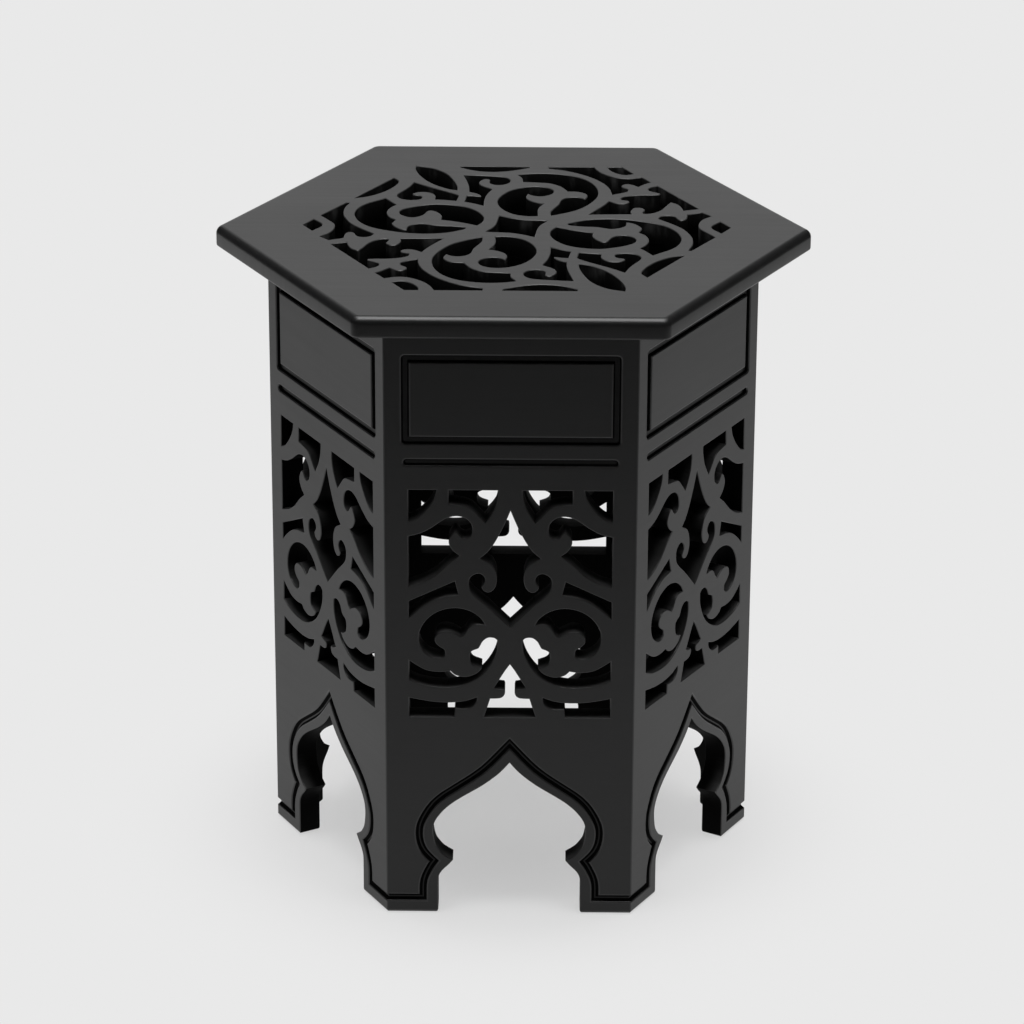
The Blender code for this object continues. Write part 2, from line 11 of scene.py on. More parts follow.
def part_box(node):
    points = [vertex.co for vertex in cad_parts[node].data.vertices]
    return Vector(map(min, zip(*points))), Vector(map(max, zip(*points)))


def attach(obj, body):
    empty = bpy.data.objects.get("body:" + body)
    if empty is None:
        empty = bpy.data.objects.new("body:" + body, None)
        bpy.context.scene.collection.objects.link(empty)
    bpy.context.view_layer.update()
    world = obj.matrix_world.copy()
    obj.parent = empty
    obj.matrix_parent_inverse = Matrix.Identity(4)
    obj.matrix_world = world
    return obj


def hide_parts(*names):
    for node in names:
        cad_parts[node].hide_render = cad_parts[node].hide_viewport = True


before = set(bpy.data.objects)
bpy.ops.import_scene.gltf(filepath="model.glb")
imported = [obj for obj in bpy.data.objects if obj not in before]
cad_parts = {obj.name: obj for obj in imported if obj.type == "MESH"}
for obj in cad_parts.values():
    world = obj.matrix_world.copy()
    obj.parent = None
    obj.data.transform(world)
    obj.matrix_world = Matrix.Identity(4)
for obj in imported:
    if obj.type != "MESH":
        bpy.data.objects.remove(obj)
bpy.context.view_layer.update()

# Side boards
# Six like boards stand on their feet and meet in mitres of 120 degrees. A scroll fret and an ogee arch are
# sawn through each board, the arrises are eased by hand, and the grooves are routed into its face.
# The boards are close-grained wood, glued at the corners, with black satin lacquer brushed on the show faces.
SIDES = ("front", "front_right", "back_right", "back", "back_left", "front_left")
TURN = math.tau / len(SIDES)
HALF_TURN = TURN / 2
side_low, side_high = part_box("side_panel_front")
BODY_REACH = -side_low.y
SIDE_THICKNESS = side_high.y - side_low.y
SIDE_MIDDLE = BODY_REACH - SIDE_THICKNESS / 2
SIDE_HEIGHT = side_high.z
BODY_RADIUS = BODY_REACH / math.cos(HALF_TURN)
BODY_HALF = BODY_RADIUS * math.sin(HALF_TURN)
MITRE_OVERLENGTH = 0.006
MITRE_GAP = 0.00002
CORNER_EASE = 0.0003
ARRIS = 0.0007
ARRIS_STEPS = 2
FOOT_EASE = 0.003
FOOT_EASE_TURNS = (22.5, 45, 67.5)
CURVE_TOLERANCE = 0.00004
WELD = 0.000001

# The drawings are in millimetres, on a board 94 to each side of its middle line. An outline is a list of
# stretches. A stretch starts at a corner and runs smoothly to the corner where the next one starts.
DRAWN_HALF = 94
MM = BODY_HALF / DRAWN_HALF
FRET_PAIRS = {
    "upper_corner": [[(55, 354), (57, 347), (63, 338), (70, 331)], [(76, 328.5)], [(76, 354)]],
    "upper_arm": [
        [(9, 354)],
        [(46, 354)],
        [(46, 343), (41, 342.5), (30, 340), (22, 332)],
        [(18.5, 328), (12, 339), (9.5, 348)],
    ],
    "upper_scroll": [
        [(76, 316.5)],
        [(76, 275.5), (65, 279.5), (55, 286), (46, 295)],
        [(38, 301), (43, 305), (46, 311), (45, 316), (41, 320.5), (38.5, 319), (36.5, 316), (33.5, 315),
         (30, 317), (28.5, 321), (29.5, 327), (34, 331.5), (41, 333), (49, 330.5), (58, 324), (67, 319)],
    ],
    "middle_leaf": [
        [(41.5, 280)],
        [(76, 263.5)],
        [(76, 250), (70, 256), (60, 263.5), (50, 267.5)],
        [(39, 269)],
    ],
    "middle_scroll": [
        [(19, 244.5), (22, 249.5), (30, 255.5), (41, 258), (53, 255.5), (62, 249), (67.5, 240), (68.5, 231),
         (65, 222.5), (58, 217.5), (52, 217)],
        [(49, 219), (49.5, 223.5), (53, 226), (56.5, 230), (56, 235), (52, 238.5), (46, 239), (41, 237)],
        [(37, 234.5), (34, 237), (31, 242), (26, 245)],
    ],
    "lower_scroll": [
        [(9.5, 231.5), (12, 233.5), (17, 233.5), (21, 230), (23.5, 225), (27, 223.5), (29.5, 221.5),
         (30, 216), (28, 211.5)],
        [(21, 208.5), (25, 204), (33, 201), (41, 202.5)],
        [(45, 206), (53, 205), (63, 206.5), (71, 211)],
        [(76, 214.5)],
        [(76, 198.5), (66, 194.5), (53, 192.5), (41, 193), (31, 196.5), (21, 203.5), (14, 213), (10, 223)],
    ],
    "lower_arm": [
        [(25, 184), (33, 181), (46, 179.5), (61, 180.5)],
        [(76, 183.5)],
        [(76, 167.5)],
        [(42, 167.5)],
        [(41.5, 175), (37, 174.5), (31, 175), (27, 178), (25, 181.5)],
    ],
}
FRET_MIDDLES = {
    "heart": [
        [(0, 337.5), (5, 325), (11.5, 312), (17, 304)],
        [(22.5, 299), (14, 294), (10.5, 287), (10, 280), (12, 274), (16, 271), (20, 272.5), (21.5, 276),
         (19.5, 279), (19, 282.5), (22, 286), (26, 286), (30, 283), (31, 279), (30, 273), (25, 267),
         (17, 260), (8, 251)],
        [(0, 243)],
    ],
    "bell": [
        [(0, 211.6), (3.2, 207), (6.8, 201), (9, 197)],
        [(11.8, 192.3), (8, 191)],
        [(4.2, 190.4), (3.6, 187.9), (5, 184.8), (8, 183.3)],
        [(14.8, 183)],
        [(19.5, 167.5)],
    ],
}
ARCH_EDGE = [
    [(0, 129), (5, 123), (10, 118), (20, 110), (30, 103.5), (40, 97), (48, 90.5), (54, 83.5), (57.5, 77),
     (58.3, 69), (56.5, 59), (53.5, 54), (50, 50)],
    [(43.2, 45.5), (46, 42), (50, 38), (53, 34), (54.3, 30)],
    [(54.5, 23)],
    [(54.5, 3), (55.4, 0.9)],
    [(57.5, 0)],
]
ARCH_GROOVE = [
    [(0, 145.5), (10, 134), (20, 123.5), (30, 115.5), (40, 108.5), (50, 101.5), (58, 94), (64, 85), (68, 76),
     (69, 68), (68, 60), (65, 53), (60, 47)],
    [(57.5, 44.5), (60, 41), (63, 35), (65.5, 28), (66.2, 21)],
    [(66.2, 13)],
]


def curve_points(start, end, way_out, way_in, tolerance):
    """Points of a curve from start up to but not including end, with the ways that it leaves and arrives."""
    reach = (end - start).length / 3
    handles = (start + way_out * reach, end - way_in * reach)
    middle = (start + 3 * handles[0] + 3 * handles[1] + end) / 8
    strays = (middle - (start + end) / 2).length
    pieces = max(1, math.ceil(math.sqrt(strays / tolerance)))
    return interpolate_bezier(start, *handles, end, pieces + 1)[:-1]


def traced(stretches, closed=True, tolerance=CURVE_TOLERANCE):
    """The points of a drawn outline, or of an open line to its last point."""
    knots = [Vector(point) * MM for stretch in stretches for point in stretch]
    corners = {0}
    for stretch in stretches[:-1]:
        corners.add(max(corners) + len(stretch))
    count = len(knots)
    if not closed:
        corners.add(count - 1)
    points = []
    for i in range(count if closed else count - 1):
        j = (i + 1) % count
        straight = (knots[j] - knots[i]).normalized()
        way_out = straight if i in corners else (knots[j] - knots[i - 1]).normalized()
        way_in = straight if j in corners else (knots[(j + 1) % count] - knots[i]).normalized()
        points += curve_points(knots[i], knots[j], way_out, way_in, tolerance)
    if not closed:
        points.append(knots[-1])
    return points


def mirrored(points):
    return [Vector((-point.x, point.y)) for point in points]


def shown_mesh(obj):
    """The mesh of an object with its modifiers applied. The object itself is removed."""
    bpy.context.view_layer.update()
    graph = bpy.context.evaluated_depsgraph_get()
    mesh = bpy.data.meshes.new_from_object(obj.evaluated_get(graph))
    bpy.data.objects.remove(obj)
    return mesh


def new_object(name, data):
    obj = bpy.data.objects.new(name, data)
    bpy.context.scene.collection.objects.link(obj)
    return obj


def drawn_board(outlines, thickness):
    """A flat board of closed outlines with its arrises eased. An outline inside another is an opening."""
    drawing = bpy.data.curves.new("drawing", "CURVE")
    drawing.dimensions = "2D"
    drawing.fill_mode = "BOTH"
    drawing.extrude = thickness / 2 - ARRIS
    drawing.bevel_depth = ARRIS
    drawing.bevel_resolution = ARRIS_STEPS
    drawing.offset = -ARRIS
    for outline in outlines:
        line = drawing.splines.new("POLY")
        line.points.add(len(outline) - 1)
        for knot, point in zip(line.points, outline):
            knot.co = (*point, 0, 1)
        line.use_cyclic_u = True
    board = bmesh.new()
    board.from_mesh(shown_mesh(new_object("drawing", drawing)))
    bmesh.ops.remove_doubles(board, verts=board.verts, dist=WELD)
    bmesh.ops.recalc_face_normals(board, faces=board.faces)
    return board


def finished_mesh(shape, name):
    mesh = bpy.data.meshes.new(name)
    shape.to_mesh(mesh)
    shape.free()
    return mesh


def carved(shape, operation, tools):
    """A shape after a Boolean with each tool."""
    body = new_object("body", finished_mesh(shape, "body"))
    helpers = [new_object("tool", finished_mesh(tool, "tool")) for tool in tools]
    for helper in helpers:
        boolean = body.modifiers.new("tool", "BOOLEAN")
        boolean.operation = operation
        boolean.object = helper
    result = bmesh.new()
    result.from_mesh(shown_mesh(body))
    for helper in helpers:
        bpy.data.objects.remove(helper)
    return result


def planed(shape, place, way):
    """Planes off what stands out past a plane, and closes the cut."""
    everything = shape.verts[:] + shape.edges[:] + shape.faces[:]
    cut = bmesh.ops.bisect_plane(shape, geom=everything, plane_co=place, plane_no=way, clear_outer=True)
    rim = [item for item in cut["geom_cut"] if isinstance(item, bmesh.types.BMEdge)]
    bmesh.ops.triangle_fill(shape, edges=rim, use_beauty=True)


def router_cut(loops, ring=False):
    """A tool skinned from loop to loop. A ring closes on its first loop, and any other tool is capped."""
    tool = bmesh.new()
    rows = []
    for loop in loops:
        verts = [tool.verts.new(point) for point in loop]
        rows.append([tool.edges.new(pair) for pair in zip(verts, verts[1:] + verts[:1])])
    for row, following in zip(rows, rows[1:]):
        bmesh.ops.bridge_loops(tool, edges=row + following)
    if ring:
        bmesh.ops.bridge_loops(tool, edges=rows[-1] + rows[0])
    else:
        bmesh.ops.contextual_create(tool, geom=rows[0])
        bmesh.ops.contextual_create(tool, geom=rows[-1])
    bmesh.ops.recalc_face_normals(tool, faces=tool.faces)
    return tool


# A groove's rim: how far each line of it lies in from the groove's half width, and how deep, in millimetres
GROOVE_RIM = ((0.5, 0.8), (0.25, 0.45), (-0.05, 0.21), (-0.4, 0.06), (-0.75, -0.02), (-0.75, -2))
GROOVE_DEPTH = 0.0026
BOTTOM_ROUND = 0.00015
FRIEZE_MARGIN = 0.016
FRIEZE_DROP = 0.0285
FRIEZE_HEIGHT = 0.0645
FRIEZE_GROOVE = (0.0065, 0.0035)
FRIEZE_INNER_ROUND = 0.0002
LINE_DROP = 0.0175
LINE_MARGIN = 0.014
LINE_GROOVE = (0.006, 0.003)
ARCH_GROOVE_CUT = (0.0062, 0.0011)
GROOVE_TOLERANCE = 0.00012
ROUND_STEPS = 8


def section_of(width, bottom):
    """The half width and the height above the board's middle of each line of a groove's section.

    A groove has a width at the face and one at its flat bottom.
    """
    face = SIDE_THICKNESS / 2
    floor = face - GROOVE_DEPTH
    section = [(bottom / 2, floor), (bottom / 2 + BOTTOM_ROUND, floor + BOTTOM_ROUND)]
    return section + [(width / 2 - inset * MM, face - depth * MM) for inset, depth in GROOVE_RIM]


def raised(points, height):
    return [Vector((*point, height)) for point in points]


def quarter_turn(centre, radius, start):
    turns = [start + math.pi / 2 * step / ROUND_STEPS for step in range(ROUND_STEPS + 1)]
    return [centre + radius * Vector((math.cos(turn), math.sin(turn))) for turn in turns]


def rounded_rectangle(half_width, bottom, top, radius):
    right, low, high = half_width - radius, bottom + radius, top - radius
    points = quarter_turn(Vector((right, high)), radius, 0)
    points += quarter_turn(Vector((-right, high)), radius, math.pi / 2)
    points += quarter_turn(Vector((-right, low)), radius, math.pi)
    return points + quarter_turn(Vector((right, low)), radius, 3 * math.pi / 2)


def strip(path, half_width):
    """The outline of a strip along an open path, mitred where the path turns."""
    ways = [(end - start).normalized() for start, end in zip(path, path[1:])]
    edge = []
    for way_in, way_out in zip(ways[:1] + ways, ways + ways[-1:]):
        across = Vector((-way_in.y, way_in.x))
        mitre = across + Vector((-way_out.y, way_out.x))
        edge.append(mitre / mitre.dot(across) * half_width)
    left = [point + offset for point, offset in zip(path, edge)]
    right = [point - offset for point, offset in zip(path, edge)]
    return left + right[::-1]


def frieze_tool(bottom, top):
    """The groove round the frieze: down its outer side, and up its inner one."""
    half_width = BODY_HALF - FRIEZE_MARGIN
    outer, inner = [], []
    for reach, height in section_of(*FRIEZE_GROOVE):
        outside = rounded_rectangle(half_width + reach, bottom - reach, top + reach, reach)
        inside = rounded_rectangle(half_width - reach, bottom + reach, top - reach, FRIEZE_INNER_ROUND)
        outer.append(raised(outside, height))
        inner.append(raised(inside, height))
    return router_cut(outer[::-1] + inner, ring=True)


def line_tool(level):
    """The single groove under the frieze, with round ends."""
    half_length = BODY_HALF - LINE_MARGIN - LINE_GROOVE[0] / 2
    loops = []
    for reach, height in section_of(*LINE_GROOVE):
        outline = rounded_rectangle(half_length + reach, level - reach, level + reach, reach)
        loops.append(raised(outline, height))
    return router_cut(loops)


def arch_tool():
    """The groove round the arch, which turns at the foot and runs out of the board."""
    half = traced(ARCH_GROOVE, closed=False, tolerance=GROOVE_TOLERANCE)
    half.append(Vector((BODY_HALF + 2 * MITRE_OVERLENGTH, half[-1].y)))
    path = mirrored(half)[:0:-1] + half
    return router_cut([raised(strip(path, reach), height) for reach, height in section_of(*ARCH_GROOVE_CUT)])


def side_outlines():
    """The edge of a board with the arch in it, and the openings of its fret."""
    end = BODY_HALF + MITRE_OVERLENGTH
    arch = traced(ARCH_EDGE, closed=False)
    edge = mirrored(arch)[:0:-1] + arch
    edge += [Vector(corner) for corner in ((end, 0), (end, SIDE_HEIGHT), (-end, SIDE_HEIGHT), (-end, 0))]
    outlines = [edge]
    for stretches in FRET_PAIRS.values():
        opening = traced(stretches)
        outlines += [opening, mirrored(opening)]
    for stretches in FRET_MIDDLES.values():
        half = traced(stretches, closed=False)
        outlines.append(half + [point for point in mirrored(half)[::-1] if point.x < 0])
    return outlines


FLAT_FROM = 0.9995
SHARP_FROM = math.radians(35)


def shade(mesh, way):
    """Rounds are shaded smooth, and faces that look along a way, or against it, stay flat."""
    mesh.set_sharp_from_angle(angle=SHARP_FROM)
    for face in mesh.polygons:
        face.use_smooth = abs(face.normal.dot(way)) < FLAT_FROM


GROOVE_BOTTOM = 0.8
SAWN_SQUARE = 0.1
ON_SHOW, ON_EDGES, IN_GROOVES, IN_CUTS = range(4)


def sort_finishes(mesh, show_face, way):
    """Sorts faces into the show face, its eased edges, groove bottoms, and cut walls with the inner face.

    A ledge in a sawn cut also keeps the share of it that looks up, which sets how much painted light it gets.
    """
    shares = []
    for face in mesh.polygons:
        facing = face.normal.dot(way)
        share = 0
        if (show_face - face.center).dot(way) > ARRIS:
            face.material_index = IN_GROOVES if facing > GROOVE_BOTTOM else IN_CUTS
            # The share that looks up takes painted light from above
            if abs(facing) < SAWN_SQUARE:
                share = max(0, face.normal.z)
        elif facing < FLAT_FROM:
            face.material_index = ON_EDGES
        shares.append(share)
    mesh.attributes.new("painted_light_share", "FLOAT", "FACE").data.foreach_set("value", shares)


def side_board():
    """The front board, in its place."""
    frieze_top = SIDE_HEIGHT - FRIEZE_DROP
    frieze_bottom = frieze_top - FRIEZE_HEIGHT
    tools = [frieze_tool(frieze_bottom, frieze_top), line_tool(frieze_bottom - LINE_DROP), arch_tool()]
    board = carved(drawn_board(side_outlines(), SIDE_THICKNESS), "DIFFERENCE", tools)
    upright = Matrix.Rotation(math.pi / 2, 4, "X")
    bmesh.ops.transform(board, matrix=Matrix.Translation((0, -SIDE_MIDDLE, 0)) @ upright, verts=board.verts)
    for hand in (-1, 1):
        mitre = Vector((hand * math.cos(HALF_TURN), math.sin(HALF_TURN), 0))
        planed(board, -MITRE_GAP * mitre, mitre)
        corner = Vector((hand * math.sin(HALF_TURN), -math.cos(HALF_TURN), 0))
        planed(board, (BODY_RADIUS - CORNER_EASE) * corner, corner)
    for hand in (-1, 1):
        ease_middle = Vector((0, hand * (SIDE_THICKNESS / 2 - FOOT_EASE) - SIDE_MIDDLE, FOOT_EASE))
        for turn in FOOT_EASE_TURNS:
            way = Vector((0, hand * math.cos(math.radians(turn)), -math.sin(math.radians(turn))))
            planed(board, ease_middle + FOOT_EASE * way, way)
    bmesh.ops.recalc_face_normals(board, faces=board.faces)
    mesh = finished_mesh(board, "side_board")
    shade(mesh, Vector((0, 1, 0)))
    return mesh


class Socket:
    """An output in a material. Sums on it add Math nodes, and node() adds any other node."""

    def __init__(self, tree, output=None):
        self.tree = tree
        self.output = output

    def node(self, kind, settings, inputs, output=0):
        """A new node's output. The settings are set first, then each input to its value or its link."""
        new = self.tree.nodes.new(kind)
        for name, value in settings.items():
            setattr(new, name, value)
        for name, value in inputs.items():
            self.feed(new.inputs[name], value)
        return Socket(self.tree, new.outputs[output])

    def feed(self, socket, value):
        if isinstance(value, Socket):
            self.tree.links.new(value.output, socket)
        else:
            socket.default_value = value

    def maths(self, operation, first, second):
        return self.node("ShaderNodeMath", {"operation": operation}, {0: first, 1: second})

    def __add__(self, other):
        return self.maths("ADD", self, other)

    def __radd__(self, other):
        return self.maths("ADD", other, self)

    def __sub__(self, other):
        return self.maths("SUBTRACT", self, other)

    def __rsub__(self, other):
        return self.maths("SUBTRACT", other, self)

    def __mul__(self, other):
        return self.maths("MULTIPLY", self, other)

    def __rmul__(self, other):
        return self.maths("MULTIPLY", other, self)


def new_finish(name, **constants):
    """A material, a starting point for its nodes, and its shader. What is the same all over is set here."""
    material = bpy.data.materials.new(name)
    material.use_nodes = True
    shader = material.node_tree.nodes["Principled BSDF"]
    for socket, value in constants.items():
        shader.inputs[socket.replace("_", " ")].default_value = value
    return material, Socket(material.node_tree), shader


NOISE_MEAN = 0.5


def noise(start, scale, detail):
    """Noise on the piece's own coordinates, stretched along the ways with a small scale."""
    coordinates = start.node("ShaderNodeTexCoord", {}, {}, "Object")
    stretched = start.node("ShaderNodeMapping", {}, {"Vector": coordinates, "Scale": scale})
    return start.node("ShaderNodeTexNoise", {}, {"Vector": stretched, "Scale": 1, "Detail": detail})


def faded(start, value, low, high, from_value, to_value):
    """A value that runs smoothly from one number to another between two limits."""
    limits = {"Value": value, "From Min": low, "From Max": high, "To Min": from_value, "To Max": to_value}
    return start.node("ShaderNodeMapRange", {"interpolation_type": "SMOOTHSTEP"}, limits)


def mixed(start, share, first, second):
    """A colour that runs from the first to the second as a share goes from 0 to 1.

    The Mix node has sockets for each kind of value, and those for colours are inputs 6 and 7 and output 2.
    """
    return start.node("ShaderNodeMix", {"data_type": "RGBA"}, {0: share, 6: first, 7: second}, 2)


def feed_surface(start, shader, colour, roughness, relief, depth, strength):
    """What varies over a finish: its colour, its roughness, and a relief with a depth and a strength."""
    bump = start.node("ShaderNodeBump", {}, {"Strength": strength, "Distance": depth, "Height": relief})
    start.feed(shader.inputs["Base Color"], colour)
    start.feed(shader.inputs["Roughness"], roughness)
    start.feed(shader.inputs["Normal"], bump)


LACQUER_DEEP = (0.0022, 0.0022, 0.0023, 1)
LACQUER_THIN = (0.005, 0.005, 0.0051, 1)
LACQUER_ROUGHNESS = 0.37
LACQUER_SHEEN_CHANGE = 0.14
STREAK_DETAIL = 5
FIBRE_DETAIL = 3
FIBRE_SHARE = 0.4
CLOUD_SCALE = (9, 9, 9)
CLOUD_DETAIL = 3
CLOUD_SHARE = 0.5
BRUSH_RELIEF = 0.00012
BRUSH_STRENGTH = 0.5


def black_lacquer(name, gloss, brush_scale, fibre_scale):
    """Black satin lacquer. The brush leaves long faint streaks, and the wood's fibres show in them."""
    material, start, shader = new_finish(name, IOR=gloss)
    streaks = noise(start, brush_scale, STREAK_DETAIL)
    fibres = noise(start, fibre_scale, FIBRE_DETAIL)
    clouds = noise(start, CLOUD_SCALE, CLOUD_DETAIL)
    relief = streaks * (1 - FIBRE_SHARE) + fibres * FIBRE_SHARE
    colour = mixed(start, streaks, LACQUER_DEEP, LACQUER_THIN)
    sheen = streaks * (1 - CLOUD_SHARE) + clouds * CLOUD_SHARE
    roughness = LACQUER_ROUGHNESS + LACQUER_SHEEN_CHANGE * (sheen - NOISE_MEAN)
    feed_surface(start, shader, colour, roughness, relief, BRUSH_RELIEF, BRUSH_STRENGTH)
    return material


STAIN_DEEP = (0.0005, 0.0005, 0.0005, 1)
STAIN_THIN = (0.0018, 0.0018, 0.0017, 1)
STAIN_ROUGHNESS = 0.7
STAIN_SHEEN_CHANGE = 0.2
STAIN_IOR = 1.12
PORE_SCALE = (700, 700, 700)
PORE_DETAIL = 4
SAW_RELIEF = 0.0002
SAW_STRENGTH = 0.4
# Grey painted sheen for light from above on the ledges near the face, and how deep into the cuts it reaches
PAINTED_SHEEN_GREY = (0.045, 0.045, 0.045, 1)
PAINTED_SHEEN_DEPTH = 0.012
OUTWARD = [Vector((math.sin(k * TURN), -math.cos(k * TURN), 0)) for k in range(len(SIDES))]


def painted_light_on_ledges(start):
    """The share of painted light on the ledges in a side board: a painted sheen on what looks up, less the
    deeper it lies.

    A piece that keeps no such share, such as a block, gets none.
    """
    place = start.node("ShaderNodeTexCoord", {}, {}, "Object")
    reach = 0
    for way in OUTWARD:
        along = start.node("ShaderNodeVectorMath", {"operation": "DOT_PRODUCT"}, {0: place, 1: way}, "Value")
        reach = start.maths("MAXIMUM", reach, along)
    painted_light_share = start.node("ShaderNodeAttribute", {"attribute_name": "painted_light_share"}, {}, "Fac")
    return painted_light_share * faded(start, reach, BODY_REACH - PAINTED_SHEEN_DEPTH, BODY_REACH, 0, 1)


def black_stain_and_sheen(name, painted_light):
    """Black stain on sawn walls and inner faces, which drink it and stay dull.

    A grey painted sheen, standing for light that reaches into the cuts, is mixed over the stain by the
    given share of painted light.
    """
    material, start, shader = new_finish(name, IOR=STAIN_IOR)
    pores = noise(start, PORE_SCALE, PORE_DETAIL)
    stain = mixed(start, pores, STAIN_DEEP, STAIN_THIN)
    colour = mixed(start, painted_light(start), stain, PAINTED_SHEEN_GREY)
    roughness = STAIN_ROUGHNESS + STAIN_SHEEN_CHANGE * (pores - NOISE_MEAN)
    feed_surface(start, shader, colour, roughness, pores, SAW_RELIEF, SAW_STRENGTH)
    return material


# The lacquer gathers on the eased edges, which shine more, and lies thin in the grooves, which shine less
SHOW_GLOSS = 1.42
EDGE_GLOSS = 1.56
GROOVE_GLOSS = 1.25
SIDE_BRUSH = ((9, 9, 240), (30, 30, 1100))
# The stain on the cuts carries painted light on the upward ledges near the face
cut_stain_and_sheen = black_stain_and_sheen("cut_stain_and_sheen", painted_light_on_ledges)
front_mesh = side_board()
front_mesh.materials.append(black_lacquer("side_lacquer", SHOW_GLOSS, *SIDE_BRUSH))
front_mesh.materials.append(black_lacquer("side_edge_lacquer", EDGE_GLOSS, *SIDE_BRUSH))
front_mesh.materials.append(black_lacquer("groove_lacquer", GROOVE_GLOSS, *SIDE_BRUSH))
front_mesh.materials.append(cut_stain_and_sheen)
sort_finishes(front_mesh, Vector((0, -BODY_REACH, 0)), Vector((0, -1, 0)))
for k, side in enumerate(SIDES):
    board_mesh = front_mesh.copy()
    board_mesh.transform(Matrix.Rotation(k * TURN, 4, "Z"))
    board = new_object(f"side_board_{side}", board_mesh)
    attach(board, "root")
    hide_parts(f"side_panel_{side}")

# Tongues, blocks and dowels
# A loose birch ply tongue is glued into each mitre, and a sawn block into each inner corner behind the
# frieze. Beech dowels stand in the upper edge of each board to hold the top. The blocks show from below
# and are stained black with the insides of the boards. The tongues and dowels are raw wood.
WOOD_ROUGHNESS = 0.62
WOOD_SHEEN_CHANGE = 0.2
WOOD_RELIEF = 0.0002
WOOD_STRENGTH = 0.4
BAND_DETAIL = 4
PORES_TO_A_BAND = 6
WOOD_PORE_DETAIL = 2
BIRCH_EARLY = (0.66, 0.5, 0.32, 1)
BIRCH_LATE = (0.52, 0.37, 0.22, 1)
BIRCH_GRAIN = (900, 900, 12)
BEECH_EARLY = (0.6, 0.41, 0.26, 1)
BEECH_LATE = (0.48, 0.3, 0.17, 1)
BEECH_GRAIN = (700, 700, 20)


def raw_wood(name, early, late, grain_scale):
    """Raw wood: bands of early and late wood along the grain, and fine pores."""
    material, start, shader = new_finish(name)
    bands = noise(start, grain_scale, BAND_DETAIL)
    pores = noise(start, [PORES_TO_A_BAND * size for size in grain_scale], WOOD_PORE_DETAIL)
    colour = mixed(start, bands, early, late)
    roughness = WOOD_ROUGHNESS + WOOD_SHEEN_CHANGE * (pores - NOISE_MEAN)
    feed_surface(start, shader, colour, roughness, pores, WOOD_RELIEF, WOOD_STRENGTH)
    return material


JOINERY_FINISHES = {
    "mitre_spline": raw_wood("birch_ply", BIRCH_EARLY, BIRCH_LATE, BIRCH_GRAIN),
    "glue_block": cut_stain_and_sheen,
    "top_dowel": raw_wood("beech", BEECH_EARLY, BEECH_LATE, BEECH_GRAIN),
}
for node_name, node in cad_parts.items():
    for beginning, finish in JOINERY_FINISHES.items():
        if node_name.startswith(beginning):
            node.material_slots[0].material = finish

